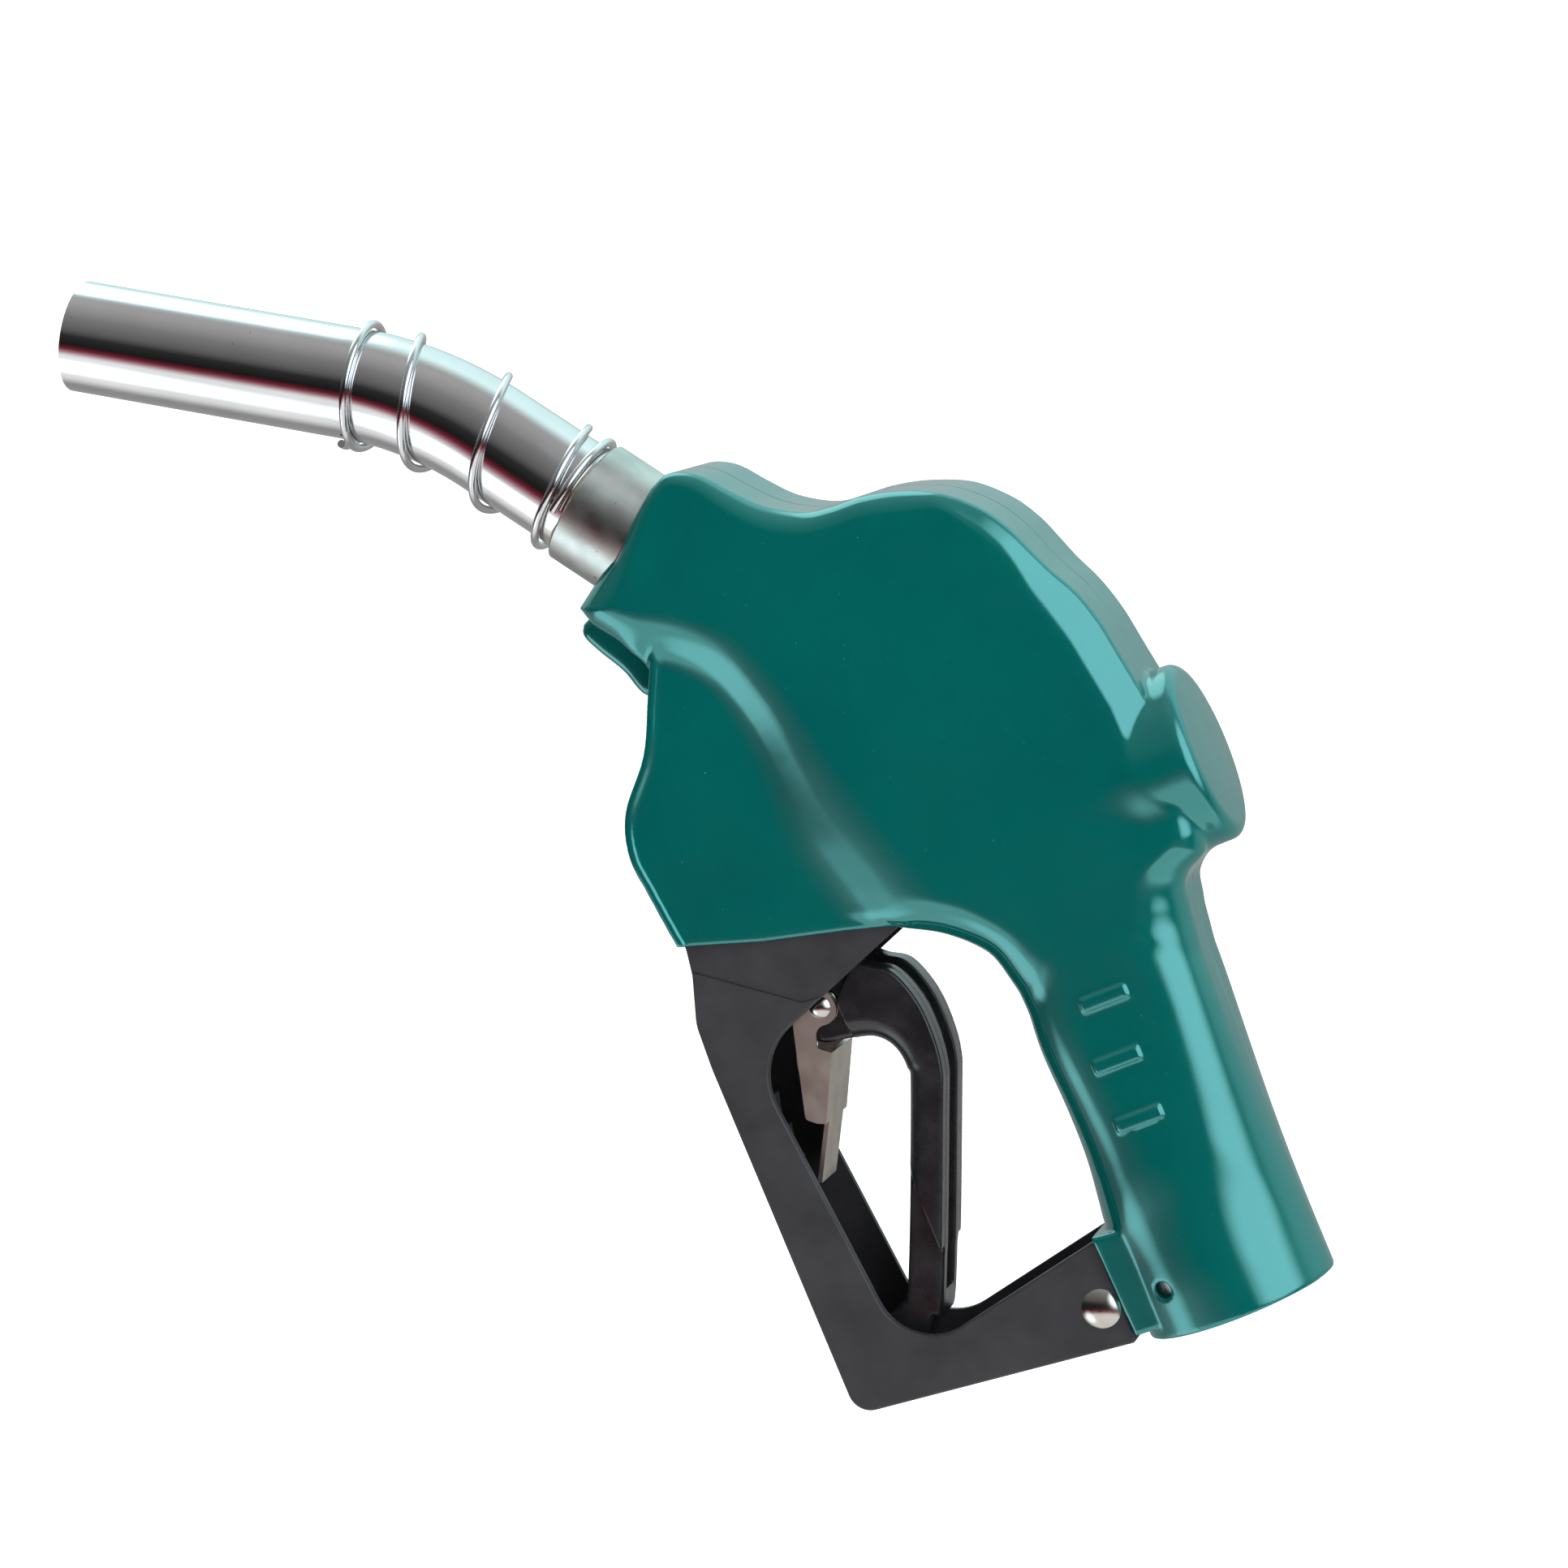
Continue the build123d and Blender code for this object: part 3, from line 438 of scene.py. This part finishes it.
def cover_field(x, y, z):
    """Outer surface of the cover joined with its openings."""
    flat = np.abs(y)
    x2, z2 = x[:, 0, :], z[:, 0, :]
    rim = [(-90.2, 233.2), (-57.0, 254.6)]
    full = flow(TOP_RUN) + flow(UNDER_RUN) + flow(FRONT_RUN[:-1]) + rim[:1]
    grip = outline(x2, z2, flow(HANDLE[:-1]) + [HANDLE[-1]])
    edge = merge(outline(x2, z2, full), grip, 7.0)
    on_grip = ease(-z2, -136, -96)
    ridge = outline(x2, z2, flow(RIDGE) + [(-110, 300), (120, 300), (120, 40), (-24, 40)])
    half = NECK_HALF + (BODY_HALF - NECK_HALF) * ease(x2, -66, -40)
    side = flat - spread(half)
    soft = 3.4 + 2.4 * ease(x2, -55, -30) - 2.4 * ease(x2, 2, 16)
    soft = soft + 5.0 * ease(-z2, -205, -160) * ease(-x2, 5, 25)
    under_neck = ease(-x2, 58, 76) * ease(z2, 212, 224)
    soft = soft + (9.5 - soft) * under_neck
    soft = soft + (14.5 - soft) * on_grip
    body = meet(spread(edge), side, spread(soft))
    facet_at = -40 * on_grip + (4.3 + 3.7 * ease(-z2, -206, -182)) * ease(x2, 4, 20)
    facet = 0.60 * spread(edge + facet_at) + 0.80 * side
    body = trim(body, facet, 1.1)
    fall = spread(0.30 + 0.13 * ease(z2, 150, 196))
    slope = fall * spread(ridge) + np.sqrt(1 - fall ** 2) * (flat - BODY_HALF)
    body = trim(body, slope, 1.6)
    above = spread(outline(x2, z2, TRIM_LINE + [(-30, 300), (-120, 300)]))
    body = np.maximum(body, np.minimum(above, spread(-x2 - 42.5)))
    radius = np.sqrt(x * x + y * y)
    round_end = spread(ease(-z2, -92, -10))
    shell = body + (radius - INLET_R - body) * round_end
    shell = trim(shell, -z, 0.8)
    boss_r = np.sqrt(y * y + (z - BOSS_Z) ** 2)
    boss = meet(boss_r - BOSS_R + 2.2 * ease(-x, -33, -20), spread(x2 - BOSS_END) + 0.0011 * boss_r ** 2, 3.2)
    boss = np.maximum(boss, -spread(x2 - 15.0))
    shell = merge(shell, boss, 1.5)
    lobe_line = flow(LOBE_FRONT) + [(-40, 110), (-34, 150), (-40, 200), (-60, 222), (-74, 217.5)]
    lobe = meet(spread(outline(x2, z2, lobe_line)), flat - LOBE_HALF, 2.0)
    lobe = trim(lobe, above, 0.8)
    front_edge = spread(outline(x2, z2, lobe_line)) + 1.5
    bead = np.sqrt(front_edge ** 2 + (flat - 16.7) ** 2) - 1.35
    lobe = np.minimum(lobe, np.maximum(bead, above))
    shell = merge(shell, lobe, 1.3)
    lip = meet(spread(outline(x2, z2, flow(LIP + LIP[:1])[:-1])), flat - 8.6, 2.6)
    shell = merge(shell, lip, 1.0)
    lug = meet(spread(outline(x2, z2, LUG)), flat - 18.2, 0.9)
    shell = merge(shell, lug, 0.8)
    for bar_x, bar_z in BARS:
        bar = spread(np.maximum(np.abs(x2 - bar_x) - 6.5, np.abs(z2 - bar_z) - 1.9))
        shell = np.minimum(shell, np.maximum(meet(bar, shell - 0.9, 0.7), y))
    (px, pz), (dx, dz) = SPOUT_AXIS
    along = (x - px) * dx + (z - pz) * dz
    across = (x - px) * -dz + (z - pz) * dx
    off_axis = np.sqrt(across ** 2 + y * y)
    shell = trim(shell, 15.6 - along, 1.2)
    room = shell + COVER_T
    room = np.minimum(room, np.maximum(off_axis - 17.5, along - 40))
    room = np.minimum(room, np.maximum(spread(outline(x2, z2, GUARD_ROOM)), flat - 15.6))
    room = np.minimum(room, np.maximum(radius - 23.2, z - 20))
    slot = np.maximum(np.maximum(np.abs(x + 26) - 10, flat - 13.1), np.abs(z - 13.5) - 9.5)
    room = np.minimum(room, slot)
    drain = np.maximum(np.sqrt((x + 13) ** 2 + (z - 13) ** 2) - 2.3, y)
    room = np.minimum(room, drain)
    return trim(shell, -room, 0.5)


def make_cover():
    step = 0.62
    low, high = (-107, -27, -2), (52, 27, 262)
    x, y, z = grid(low, high, step)
    field = np.ascontiguousarray(np.broadcast_to(cover_field(x, y, z), (x.size, y.size, z.size)))
    points, quads = surface_net(field, low, step)
    points = settle(relax(points, quads, 3), field, low, step)
    cover = mesh_piece("grip_cover_skin", points, quads, FINISHES["cover_vinyl"], "nozzle")
    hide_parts("grip_cover")


make_cover()


# ---------------------------------------------------------------- lever
LEVER_HALF = 12.2
LEVER_HUB_HALF = 8.7
FRONT_BEAD_R = 5.6
REAR_EDGE_R = 0.9
GROOVE_DEPTH = 2.6
GROOVE_HALF = 4.1
VALVE_PAD = (-60.0, 133.5)
LEVER_PIVOT = (-72.0, 157.5)
LEVER_BORE_R = 2.56
CLIP_PIVOT = (-72.4, 112.3)
CLIP_BORE_R = 1.95
LEVER_REAR = [(-80, 167.5), (-70.5, 167), (-64.0, 161), (-58.6, 150), (-56.2, 139), (-57.6, 128),
              (-58.4, 121.0), (-55.6, 117.7),
              (-50.4, 114.2), (-47.2, 106.0), (-46.4, 97.0), (-47.6, 86.5), (-52.0, 75.5), (-73.2, 28.2),
              (-77.5, 24.6)]
LEVER_FRONT = [(-90.2, 20.2), (-93.6, 24.5), (-91.0, 28.4), (-84.6, 30.8), (-79.8, 37.0), (-59.6, 82.0),
               (-57.6, 89.0), (-58.6, 95.4), (-62.6, 99.8), (-69.5, 101.6), (-76.5, 103.0), (-79.2, 108.0),
               (-79.4, 130.0), (-80.8, 150.0), (-80.6, 160.0)]


def from_point(x, z, point):
    return np.sqrt((x - point[0]) ** 2 + (z - point[1]) ** 2)


def lever_field(x, y, z):
    """Arched grip, narrow hub, rear groove, fork and bores of the lever."""
    flat = np.abs(y)
    x2, z2 = x[:, 0, :], z[:, 0, :]
    rear_side = spread(outline(x2, z2, flow(LEVER_REAR) + [(-86, 16), (-140, 16), (-140, 190), (-80, 190)]))
    front_side = spread(outline(x2, z2, flow(LEVER_FRONT) + [(-80, 190), (-10, 190), (-10, 10), (-90, 10)]))
    side = flat - LEVER_HALF
    wide = np.maximum(meet(front_side, side, FRONT_BEAD_R), meet(rear_side, side, REAR_EDGE_R))
    neck_line = spread(np.maximum(-67.6 - x2, (z2 - 119.5) * 0.72 - (x2 + 60) * 0.69))
    wide = trim(wide, neck_line, 0.7)
    side = flat - LEVER_HUB_HALF
    hub = np.maximum(meet(front_side, side, 1.4), meet(rear_side, side, 1.4))
    lever = merge(wide, hub, 0.6)
    groove = np.maximum(-rear_side - GROOVE_DEPTH, flat - GROOVE_HALF)
    reach = spread(np.maximum(30.0 - z2, np.abs(z2 - 70) - 50.5))
    lever = trim(lever, -np.maximum(groove, reach), 0.5)
    fork = np.maximum(np.maximum(flat - 6.3, 143.0 - z), x + 40)
    lever = np.maximum(lever, -fork)
    lever = merge(lever, meet(from_point(x, z, VALVE_PAD) - 5.0, flat - 7.5, 0.5), 0.8)
    lever = np.maximum(lever, LEVER_BORE_R - from_point(x, z, LEVER_PIVOT))
    return np.maximum(lever, CLIP_BORE_R - from_point(x, z, CLIP_PIVOT))


def make_lever():
    step = 0.45
    low, high = (-96, -13.3, 16), (-44, 13.3, 169)
    x, y, z = grid(low, high, step)
    field = np.ascontiguousarray(np.broadcast_to(lever_field(x, y, z), (x.size, y.size, z.size)))
    points, quads = surface_net(field, low, step)
    points = settle(relax(points, quads, 2), field, low, step)
    lever = mesh_piece("squeeze_lever_grip", points, quads, FINISHES["lever_black"], "squeeze_lever")
    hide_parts("lever")


make_lever()


# ---------------------------------------------------------------- sealant round the collar's face
def sealant():
    """Amber thread sealant, dried and dusty."""
    material, tree, shader = new_material("sealant", (0.42, 0.30, 0.10), 0.35)
    tint = ramp(tree, object_noise(tree, 700, 4), [(0.3, (0.26, 0.17, 0.05)), (0.6, (0.55, 0.43, 0.20)),
                                                   (0.85, (0.75, 0.66, 0.42))])
    tree.links.new(tint, shader.inputs["Base Color"])
    add_bump(tree, shader, [(object_noise(tree, 1200, 3), 0.4, 0.0002)])
    return material


def make_sealant():
    """Uneven bead squeezed out between the tube and the collar, thickest below."""
    (px, pz), (dx, dz) = SPOUT_AXIS
    around, section = 96, 8
    points, faces = [], []
    for i in range(around):
        turn = 2 * math.pi * i / around
        low = 0.5 - 0.5 * math.cos(turn + 0.5)
        swell = 0.30 + 0.30 * low + 0.16 * math.sin(5 * turn + 1.0) + 0.10 * math.sin(11 * turn)
        across, side = math.cos(turn), math.sin(turn)
        for k in range(section):
            spin = 2 * math.pi * k / section
            r = 15.35 + swell * math.cos(spin)
            s = -0.05 + 1.25 * swell * math.sin(spin)
            points.append((px + dx * s - dz * across * r, side * r, pz + dz * s + dx * across * r))
            j, m = (i + 1) % around, (k + 1) % section
            faces.append((i * section + k, j * section + k, j * section + m, i * section + m))
    mesh_piece("collar_sealant_bead", points, faces, sealant(), "nozzle")


make_sealant()


# ---------------------------------------------------------------- floor, light and camera
def make_floor():
    """Wide pale floor under the object, curved up far behind."""
    profile = [(-6.0, -0.14), (2.6, -0.14)]
    for k in range(1, 13):
        turn = math.radians(7.5 * k)
        profile.append((2.6 + 1.2 * math.sin(turn), -0.14 + 1.2 * (1 - math.cos(turn))))
    profile.append((3.8, 4.0))
    points = []
    for y, z in profile:
        points += [(-6.0, y, z), (6.0, y, z)]
    faces = [(2 * k, 2 * k + 1, 2 * k + 3, 2 * k + 2) for k in range(len(profile) - 1)]
    mesh = bpy.data.meshes.new("floor")
    mesh.from_pydata(points, [], faces)
    floor = bpy.data.objects.new("floor", mesh)
    bpy.context.scene.collection.objects.link(floor)
    for polygon in mesh.polygons:
        polygon.use_smooth = True
    material, tree, shader = new_material("studio_floor", (0.93, 0.93, 0.93), 0.9)
    shader.inputs["Emission Color"].default_value = (1, 1, 1, 1)
    shader.inputs["Emission Strength"].default_value = 0.62
    mesh.materials.append(material)
    floor.visible_glossy = False


def soft_light(name, place, aim, width, height, power, colour=(1, 1, 1)):
    data = bpy.data.lights.new(name, "AREA")
    data.shape = "RECTANGLE"
    data.size = width
    data.size_y = height
    data.energy = power
    data.color = colour
    light = bpy.data.objects.new(name, data)
    bpy.context.scene.collection.objects.link(light)
    light.location = place
    light.rotation_euler = (Vector(aim) - Vector(place)).to_track_quat("-Z", "Y").to_euler()
    light.visible_camera = False
    light.visible_glossy = False


def make_world():
    """Studio surroundings as seen in reflections: dim in front, pale above, below and to the right."""
    world = bpy.data.worlds.new("studio")
    bpy.context.scene.world = world
    world.use_nodes = True
    tree = world.node_tree
    back = tree.nodes["Background"]
    place = tree.nodes.new("ShaderNodeTexCoord")

    def towards(direction, lo, hi):
        """0 to 1 as the looked-at direction turns towards the given one."""
        dot = tree.nodes.new("ShaderNodeVectorMath")
        dot.operation = "DOT_PRODUCT"
        dot.inputs[1].default_value = direction
        tree.links.new(place.outputs["Generated"], dot.inputs[0])
        span = tree.nodes.new("ShaderNodeMapRange")
        span.interpolation_type = "SMOOTHSTEP"
        span.inputs["From Min"].default_value = lo
        span.inputs["From Max"].default_value = hi
        tree.links.new(dot.outputs["Value"], span.inputs["Value"])
        return span.outputs["Result"]

    height = tree.nodes.new("ShaderNodeVectorMath")
    height.operation = "DOT_PRODUCT"
    height.inputs[1].default_value = (0.361, 0.140, 0.922)
    tree.links.new(place.outputs["Generated"], height.inputs[0])
    span = tree.nodes.new("ShaderNodeMapRange")
    span.inputs["From Min"].default_value = -1.0
    tree.links.new(height.outputs["Value"], span.inputs["Value"])
    front = ramp(tree, span.outputs["Result"], [
        (0.0, grey(0.95)), (0.20, grey(1.0)), (0.255, (0.42, 0.20, 0.23)), (0.29, (0.20, 0.03, 0.05)),
        (0.325, (0.10, 0.012, 0.02)), (0.36, grey(0.012)), (0.50, grey(0.03)), (0.60, grey(0.13)),
        (0.80, grey(0.24)), (0.97, grey(0.44))])
    behind = ramp(tree, span.outputs["Result"], [
        (0.0, grey(0.30)), (0.3, grey(0.34)), (0.55, grey(0.42)), (0.8, (0.80, 1.1, 1.1)),
        (1.0, (0.95, 1.25, 1.25))])
    studio = mix(tree, towards((0, 1, 0), -0.05, 0.45), front, behind)
    studio = mix(tree, towards((-0.86, -0.36, -0.36), 0.93, 0.99), studio, (1.7, 2.0, 2.1))
    studio = mix(tree, towards((-0.16, 0.45, 0.88), 0.88, 0.97), studio, (1.9, 2.5, 2.5))
    studio = mix(tree, towards((0.88, -0.47, 0.06), 0.76, 0.95), studio, (2.0, 2.25, 2.4))
    seen = tree.nodes.new("ShaderNodeLightPath")
    tree.links.new(mix(tree, seen.outputs["Is Camera Ray"], studio, grey(1.0)), back.inputs["Color"])
    back.inputs["Strength"].default_value = 1.0


def make_camera():
    data = bpy.data.cameras.new("camera")
    data.sensor_width = 36.0
    data.lens = 108.0745
    data.clip_start = 0.01
    camera = bpy.data.objects.new("camera", data)
    bpy.context.scene.collection.objects.link(camera)
    right = (0.88515, 0.26010, -0.38582)
    up = (0.36077, 0.14005, 0.92208)
    back = (0.29387, -0.95537, 0.03013)
    turn = Matrix((right, up, back)).transposed().to_4x4()
    camera.matrix_world = Matrix.Translation((0.3032, -1.1847, 0.2071)) @ turn
    bpy.context.scene.camera = camera


make_floor()
make_world()
make_camera()
soft_light("key_right", (1.25, -0.95, 0.62), (0, 0, 0.17), 0.75, 1.25, 18)
soft_light("fill_top", (-0.1, -0.5, 1.9), (0, 0, 0.17), 1.6, 1.0, 12)
soft_light("fill_left", (-1.5, -1.3, 0.25), (0, 0, 0.17), 0.7, 0.7, 8)
bpy.context.scene.view_settings.view_transform = "Standard"
